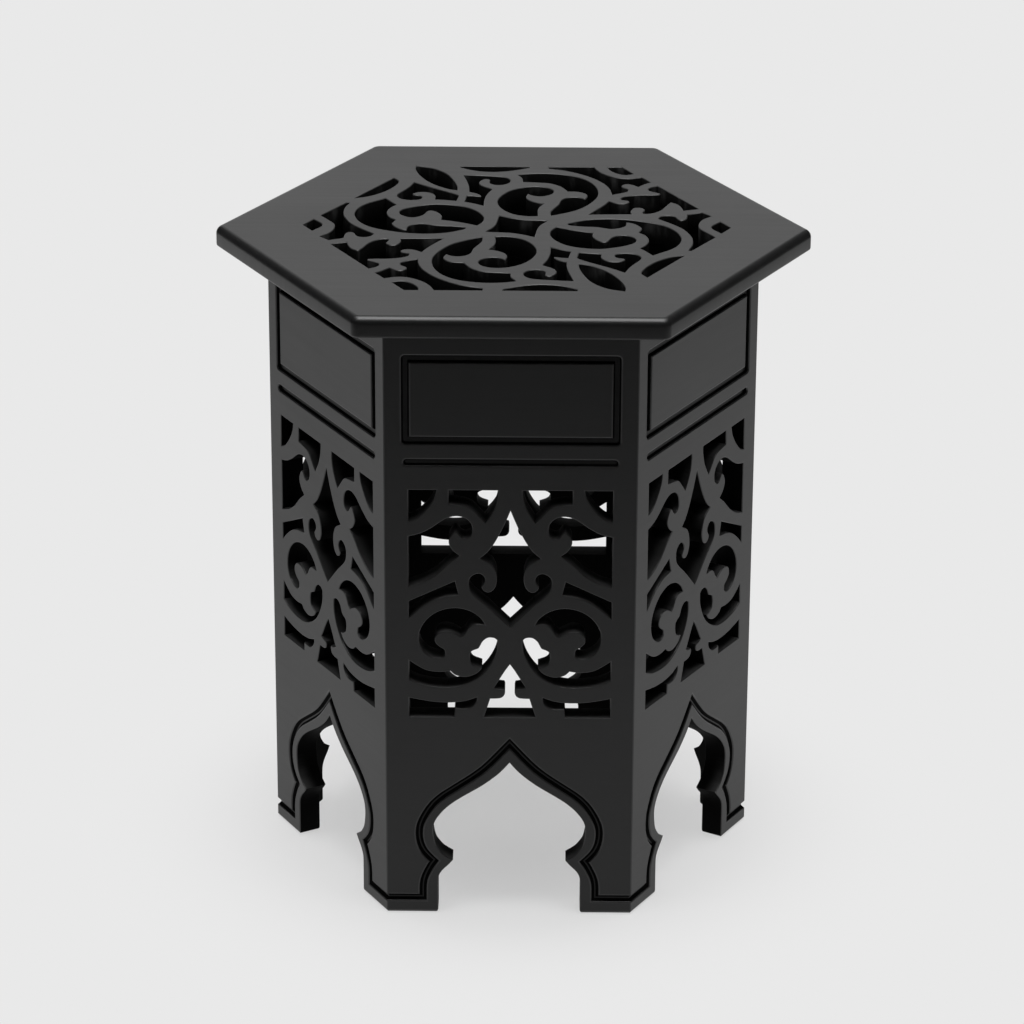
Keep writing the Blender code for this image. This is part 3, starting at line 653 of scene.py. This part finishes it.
# Top
# A hexagonal board with scrollwork sawn through its middle lies on the side boards, pinned by their dowels.
# Its rim is rounded over by a router, and it has the same black satin lacquer, brushed along its length.
top_low, top_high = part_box("tabletop")
TOP_THICKNESS = top_high.z - top_low.z
TOP_RADIUS = top_high.y / math.cos(HALF_TURN)
UNCUT_RADIUS = 2 * TOP_RADIUS
TOP_RIM_ROUND = 0.006
TOP_CORNER_ROUND = 0.002
TOP_UNDER_ROUND = 0.002
RIM_STEPS = 10
TOP_SHAVING = 0.00002
TOP_WINDOW_SHIFT = Vector((0.0025, 0.0029))
TOP_PAIRS = {
    "side_hook": [
        [(-129.5, 52.5), (-133, 40), (-133.5, 26), (-131.5, 16), (-127, 4), (-120, -6), (-114, -13)],
        [(-108.5, -19), (-110.5, -24), (-116, -26.5), (-121, -24), (-123, -18), (-125.5, -15.5),
         (-128.5, -16.5), (-130.5, -21)],
        [(-131, -29)],
        [(-142, -34)],
        [(-149, -26), (-142, -18), (-139, -9), (-139, 2), (-143, 10)],
        [(-150.5, 22)],
        [(-131.5, 52.5)],
    ],
    "side_tip": [[(-163, 0)], [(-155.5, 13), (-148.5, 0)], [(-155.5, -13)]],
    "ring_crescent": [
        [(-102.5, 63), (-108, 57.5), (-115, 51), (-121, 42), (-124.5, 30), (-124, 20), (-120, 8), (-112, -3),
         (-102, -9.5), (-94, -13), (-86, -16), (-77, -17.5), (-68, -18), (-54, -15.5), (-44, -10),
         (-39, -5), (-44, -2), (-52, -0.5), (-62, 0.5), (-71, 4.5), (-77, 3), (-81.5, -0.5),
         (-83.3, -5)],
        [(-83.5, -10.5), (-87, -9.5), (-91, -6), (-94, -1), (-95.5, 4), (-94, 10)],
        [(-93, 13), (-97.5, 18), (-100, 26), (-100, 34), (-97.5, 42)],
        [(-93.5, 48), (-97, 53)],
    ],
    "ring_scroll": [
        [(-58, 14), (-49, 11), (-40, 7)],
        [(-30.5, 1.5), (-27, 8), (-25.5, 16), (-27, 25), (-32, 35), (-39, 42.5), (-49, 47.5), (-62, 49.5),
         (-72, 47), (-82, 42), (-88.5, 36), (-90.5, 30), (-88, 23.5), (-81, 19), (-74.5, 22), (-71, 28),
         (-69, 33.5), (-65.5, 35), (-60.5, 30), (-57.5, 22)],
    ],
    "edge_lens": [
        [(-126.5, 62.5)],
        [(-97.5, 111), (-93.5, 103), (-96, 93), (-101, 83), (-108, 74), (-117, 66.5)],
    ],
    "shoulder_scroll": [
        [(-81, 101), (-72, 92.5), (-62, 84.5), (-52, 76.5), (-46.5, 71), (-46, 68)],
        [(-47.5, 58), (-56, 60)],
        [(-64, 61), (-63.5, 68), (-65.5, 74), (-70.5, 78), (-77, 78), (-81.5, 74.5), (-80.5, 70.5),
         (-77, 69.5), (-74.5, 67), (-74.5, 63), (-78, 60), (-84, 59.5), (-90, 62), (-93.5, 68), (-92.5, 73.5),
         (-88, 82), (-84, 91)],
    ],
    "corner_leaf": [
        [(47, -83), (54, -86), (63, -94), (71, -105), (78, -121), (81, -134)],
        [(80.5, -141), (68, -135.5), (57, -123), (50.5, -106), (47.5, -92)],
    ],
    "neck_scroll": [
        [(-43, 120), (-30, 118.5), (-16, 116.5), (-10, 114), (-6.5, 109), (-6.5, 103), (-11, 97.5),
         (-17, 96.5), (-21.5, 100), (-22, 105), (-22, 109), (-25.5, 110.5), (-29.5, 106), (-30.5, 100),
         (-28.5, 94), (-24, 89.5)],
        [(-20, 86), (-22.5, 79), (-24.7, 70), (-26, 58)],
        [(-26, 47), (-34, 52.5)],
        [(-41, 56), (-40, 63)],
        [(-39, 70), (-35, 69.8), (-31, 68.3)],
        [(-28.2, 68.2), (-28.5, 70.8), (-31.5, 75.5)],
        [(-37.5, 79.5), (-38, 92), (-40, 106)],
    ],
    "waist_hook": [
        [(-140, -42.5)],
        [(-128, -38.5), (-127, -45), (-124, -53)],
        [(-118.5, -58), (-115, -50), (-111, -40), (-105, -33), (-98.5, -30.5), (-96.5, -33), (-98.5, -39),
         (-96, -44), (-91, -44.5), (-88, -40), (-87, -34)],
        [(-88, -29.5), (-72, -29)],
        [(-55, -28), (-62, -40), (-67.5, -50)],
        [(-71, -59), (-76, -54.5), (-82, -53), (-86.5, -56), (-85.5, -61), (-81, -62.5), (-80.5, -66.5),
         (-85, -71), (-95, -74), (-110, -75), (-110.5, -79), (-103, -84), (-102.5, -90)],
        [(-109, -96)],
    ],
    "corner_sweep": [
        [(-73.5, -75), (-72.5, -86), (-68.5, -99), (-60, -113), (-49, -124), (-37, -132)],
        [(-24, -136.5)],
        [(-24, -141)],
        [(-59.5, -141), (-63, -131), (-69, -122), (-78, -115), (-87, -113)],
        [(-97, -116.5)],
        [(-104, -105), (-99, -100.5)],
        [(-94, -94), (-90, -98.5), (-85, -100.5), (-81, -96.5), (-82, -91.5), (-85.5, -88), (-85.5, -83),
         (-80, -78.5)],
    ],
    "corner_tip": [[(-91, -125), (-84, -122.5), (-77, -127), (-72, -135)], [(-71, -141)], [(-81.5, -141.2)]],
    "end_lens": [
        [(-9.5, -141)],
        [(-8.5, -138.3), (0, -133.5), (10, -129.5), (20, -128), (31, -129.5), (40, -134)],
        [(45.5, -138.3)],
        [(46, -141)],
    ],
    "great_crescent": [
        [(-26, -25), (-37, -31.5), (-48, -41), (-56.5, -55), (-62, -71), (-62, -87), (-57.5, -102),
         (-49, -114), (-38, -121), (-24, -124.5), (-10, -124)],
        [(0.5, -121), (-3.5, -113)],
        [(-4, -104), (-15, -103), (-25, -101), (-33, -94.5), (-37.5, -86)],
        [(-39, -82), (-46, -81.5), (-52, -78), (-54.5, -71)],
        [(-52.5, -63), (-49, -66.5), (-44, -68), (-38, -66), (-34, -60), (-32.5, -51), (-28.5, -41),
         (-26, -33)],
    ],
    "great_scroll": [
        [(-16, -24), (-8, -23.5), (2, -27.5), (10, -37), (14.5, -49), (15, -60), (11.5, -72), (5, -83),
         (-3, -89.5), (-11, -92.5), (-19, -92), (-26, -87), (-28, -80.5), (-25, -74), (-18, -70),
         (-11.5, -72)],
        [(-8, -76), (-6.5, -69), (-8, -61.5), (-13, -56)],
        [(-20.5, -52.5), (-17, -45), (-15.5, -36)],
    ],
}
TOP_MIDDLE = [
    [(-13.5, 24), (-4, 18), (6, 14.5), (18, 13.5)],
    [(23.5, 12.5), (18, 3.5), (15.5, -5.5), (14.5, -14.5)],
]


def hexagonal_blank(radius, height):
    """A hexagonal block about the origin, with corners towards +X and -X."""
    blank = bmesh.new()
    turned = Matrix.Rotation(math.pi / 2, 4, "Z")
    bmesh.ops.create_cone(
        blank, cap_ends=True, segments=len(SIDES), radius1=radius, radius2=radius, depth=height, matrix=turned
    )
    return blank


def round_over(blank, edges, offset):
    bmesh.ops.bevel(
        blank, geom=edges, offset=offset, segments=RIM_STEPS, profile=0.5, affect="EDGES", material=-1
    )


def rounded_rim():
    """The top with no scrollwork, a shaving too thick, so that only its rim shapes the sawn board."""
    height = TOP_THICKNESS + 2 * TOP_SHAVING
    blank = hexagonal_blank(TOP_RADIUS, height)
    upright = [edge for edge in blank.edges if edge.calc_length() < TOP_RADIUS / 2]
    round_over(blank, upright, (TOP_RIM_ROUND + TOP_CORNER_ROUND) * math.tan(HALF_TURN))
    level = height / 2 - WELD
    for hand, offset in ((1, TOP_RIM_ROUND), (-1, TOP_UNDER_ROUND)):
        rim = [edge for edge in blank.edges if all(hand * vert.co.z > level for vert in edge.verts)]
        round_over(blank, rim, offset)
    return blank


def sawn_top():
    """The top in its place: its scrollwork is sawn in a wider board, and then its rim is cut."""
    openings = []
    for stretches in TOP_PAIRS.values():
        opening = traced(stretches)
        openings += [opening, [-point for point in opening]]
    other_half = [[(-x, -y) for x, y in stretch] for stretch in TOP_MIDDLE]
    openings.append(traced(TOP_MIDDLE + other_half))
    outer = [Vector((math.cos(k * TURN), math.sin(k * TURN))) * UNCUT_RADIUS for k in range(len(SIDES))]
    outlines = [outer] + [[point + TOP_WINDOW_SHIFT for point in opening] for opening in openings]
    board = carved(drawn_board(outlines, TOP_THICKNESS), "INTERSECT", [rounded_rim()])
    bmesh.ops.translate(board, vec=(0, 0, (top_low.z + top_high.z) / 2), verts=board.verts)
    mesh = finished_mesh(board, "top_board")
    shade(mesh, Vector((0, 0, 1)))
    return mesh


RIM_BORDER = 0.02


def lacquer_rim(mesh):
    """Gives the rim the finish of the show face, down to the flat underside."""
    for face in mesh.polygons:
        reach = max(face.center.dot(way) for way in OUTWARD)
        if reach > top_high.y - RIM_BORDER and face.normal.z > -FLAT_FROM:
            face.material_index = ON_SHOW


# The noise at which a patch of painted sheen starts and is full, and the share of painted grey outside it and
# in it
SHEEN_PATCHES = (0.52, 0.72, 0.1, 1)
SHEEN_PATCH_SCALE = (60, 60, 24)
SHEEN_PATCH_DETAIL = 4


def painted_light_in_openings(start):
    """The share of painted light on the walls of the top's openings: a painted sheen in patches, lighter at
    the top and fading downwards.
    """
    place = start.node("ShaderNodeTexCoord", {}, {}, "Object")
    height = start.node("ShaderNodeSeparateXYZ", {}, {0: place}, "Z")
    patches = faded(start, noise(start, SHEEN_PATCH_SCALE, SHEEN_PATCH_DETAIL), *SHEEN_PATCHES)
    return patches * faded(start, height, top_low.z, top_high.z, 0, 1)


# The finishes stand in the same order as on a side board. The top has no grooves, so the stain stands twice.
TOP_GLOSS = 1.45
TOP_BRUSH = ((9, 240, 9), (30, 1100, 30))
top_mesh = sawn_top()
top_mesh.materials.append(black_lacquer("top_lacquer", TOP_GLOSS, *TOP_BRUSH))
top_mesh.materials.append(black_lacquer("top_edge_lacquer", EDGE_GLOSS, *TOP_BRUSH))
# The stain on the top carries a painted sheen on the walls of its openings
top_stain_and_sheen = black_stain_and_sheen("top_stain_and_sheen", painted_light_in_openings)
top_mesh.materials.append(top_stain_and_sheen)
top_mesh.materials.append(top_stain_and_sheen)
sort_finishes(top_mesh, top_high, Vector((0, 0, 1)))
lacquer_rim(top_mesh)
top_board = new_object("top_board", top_mesh)
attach(top_board, "root")
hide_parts("tabletop")

# Floor and light
# The table stands on a plain pale floor that curves up into a wall all round, as in a photographer's studio.
# A wide soft lamp hangs over it. The floor and the wall are an even pale grey.
FLOOR_COLOUR = (0.83, 0.83, 0.83, 1)
FLOOR_ROUGHNESS = 0.9
FLOOR_RADIUS = 4.2
COVE_RADIUS = 1.2
WALL_HEIGHT = 4.6
FLOOR_DROP = 0.0002
COVE_STEPS = 12
FLOOR_STEPS = 64
BACKDROP_COLOUR = (0.815, 0.815, 0.815, 1)
SHADOW_REACH = (0.04, 0.34)
SHADOW_LIFT = 0.47
BACKDROP_FRONT = (-0.75, -0.33)
BACKDROP_LEFT = (-2.6, -1.7)
BACKDROP_RIGHT = (1.1, 1.9)
BACKDROP_TOP = (3.9, 4.6)
WORLD_COLOUR = (0.12, 0.12, 0.12, 1)
LAMP_PLACE = Vector((0, -0.05, 2.1))
LAMP_AIM = Vector((0, 0.1, 0))
LAMP_SIZE = (1.7, 1.4)
LAMP_POWER = 17.5
LAMP_SPREAD = math.radians(95)


def studio_floor():
    """A disc and the wall that rises from its edge: a bent line, spun round the table."""
    floor = bmesh.new()
    line = [Vector((0, 0, 0)), Vector((FLOOR_RADIUS, 0, 0))]
    for step in range(1, COVE_STEPS + 1):
        turn = math.pi / 2 * step / COVE_STEPS
        out, up = math.sin(turn), 1 - math.cos(turn)
        line.append(Vector((FLOOR_RADIUS + COVE_RADIUS * out, 0, COVE_RADIUS * up)))
    line.append(Vector((FLOOR_RADIUS + COVE_RADIUS, 0, WALL_HEIGHT)))
    verts = [floor.verts.new(point) for point in line]
    edges = [floor.edges.new(pair) for pair in zip(verts, verts[1:])]
    bmesh.ops.spin(
        floor,
        geom=verts + edges,
        axis=(0, 0, 1),
        cent=(0, 0, 0),
        angle=math.tau,
        steps=FLOOR_STEPS,
        use_merge=True,
    )
    bmesh.ops.remove_doubles(floor, verts=floor.verts, dist=WELD)
    bmesh.ops.recalc_face_normals(floor, faces=floor.faces)
    bmesh.ops.translate(floor, vec=(0, 0, -FLOOR_DROP), verts=floor.verts)
    mesh = finished_mesh(floor, "studio_floor")
    mesh.shade_smooth()
    return mesh


def pale_floor():
    """White paper. What is seen of it fades from its lit face, with the shadow, into an even backdrop.

    What the lacquer reflects of the backdrop ends in front of the table, to its sides and overhead.
    """
    material, start, shader = new_finish("pale_floor", Base_Color=FLOOR_COLOUR, Roughness=FLOOR_ROUGHNESS)
    place = start.node("ShaderNodeTexCoord", {}, {}, "Object")
    distance = start.node("ShaderNodeVectorMath", {"operation": "LENGTH"}, {0: place}, "Value")
    sideways, depth, height = [start.node("ShaderNodeSeparateXYZ", {}, {0: place}, axis) for axis in "XYZ"]
    rays = ("Is Camera Ray", "Is Glossy Ray", "Is Transmission Ray")
    camera_ray, glossy_ray, clear_ray = [start.node("ShaderNodeLightPath", {}, {}, ray) for ray in rays]
    backdrop = faded(start, distance, *SHADOW_REACH, SHADOW_LIFT, 1)
    reflected = faded(start, depth, *BACKDROP_FRONT, 0, 1)
    reflected *= faded(start, sideways, *BACKDROP_LEFT, 0, 1)
    reflected *= faded(start, sideways, *BACKDROP_RIGHT, 1, 0)
    reflected *= faded(start, height, *BACKDROP_TOP, 1, 0)
    seen = camera_ray + (glossy_ray + clear_ray) * reflected
    glow = start.node("ShaderNodeEmission", {}, {"Color": BACKDROP_COLOUR})
    surface = start.node(
        "ShaderNodeMixShader", {}, {0: seen * backdrop, 1: Socket(start.tree, shader.outputs[0]), 2: glow}
    )
    start.feed(material.node_tree.nodes["Material Output"].inputs["Surface"], surface)
    return material


floor = new_object("studio_floor", studio_floor())
floor.data.materials.append(pale_floor())

lamp = bpy.data.lights.new("overhead_lamp", "AREA")
lamp.shape = "RECTANGLE"
lamp.size, lamp.size_y = LAMP_SIZE
lamp.energy = LAMP_POWER
lamp.spread = LAMP_SPREAD
overhead_lamp = new_object("overhead_lamp", lamp)
overhead_lamp.location = LAMP_PLACE
overhead_lamp.rotation_euler = (LAMP_AIM - LAMP_PLACE).to_track_quat("-Z", "Y").to_euler()

scene = bpy.context.scene
scene.view_settings.view_transform = "Standard"
world = bpy.data.worlds.new("studio")
world.use_nodes = True
world.node_tree.nodes["Background"].inputs["Color"].default_value = WORLD_COLOUR
scene.world = world

# Camera
# A long lens looks down on the front of the table from a little above it, just right of straight on. It is
# rolled by a quarter of a degree.
CAMERA_LENS = 156.13
CAMERA_SENSOR = 36
CAMERA_AZIMUTH = math.radians(0.4626)
CAMERA_ELEVATION = math.radians(23.1833)
CAMERA_ROLL = math.radians(0.2432)
CAMERA_DISTANCE = 3.4749
CAMERA_AIM_HEIGHT = 0.2672
CAMERA_AIM_SIDEWAYS = -0.00025

lens = bpy.data.cameras.new("camera")
lens.lens = CAMERA_LENS
lens.sensor_width = CAMERA_SENSOR
lens.sensor_fit = "HORIZONTAL"
camera = new_object("camera", lens)
turn_out = Matrix.Rotation(CAMERA_AZIMUTH, 4, "Z") @ Matrix.Rotation(math.pi / 2 - CAMERA_ELEVATION, 4, "X")
aim = Vector((math.cos(CAMERA_AZIMUTH), math.sin(CAMERA_AZIMUTH), 0)) * CAMERA_AIM_SIDEWAYS
aim.z = CAMERA_AIM_HEIGHT
stand_back = Matrix.Translation((0, 0, CAMERA_DISTANCE)) @ Matrix.Rotation(CAMERA_ROLL, 4, "Z")
camera.matrix_world = Matrix.Translation(aim) @ turn_out @ stand_back
scene.camera = camera
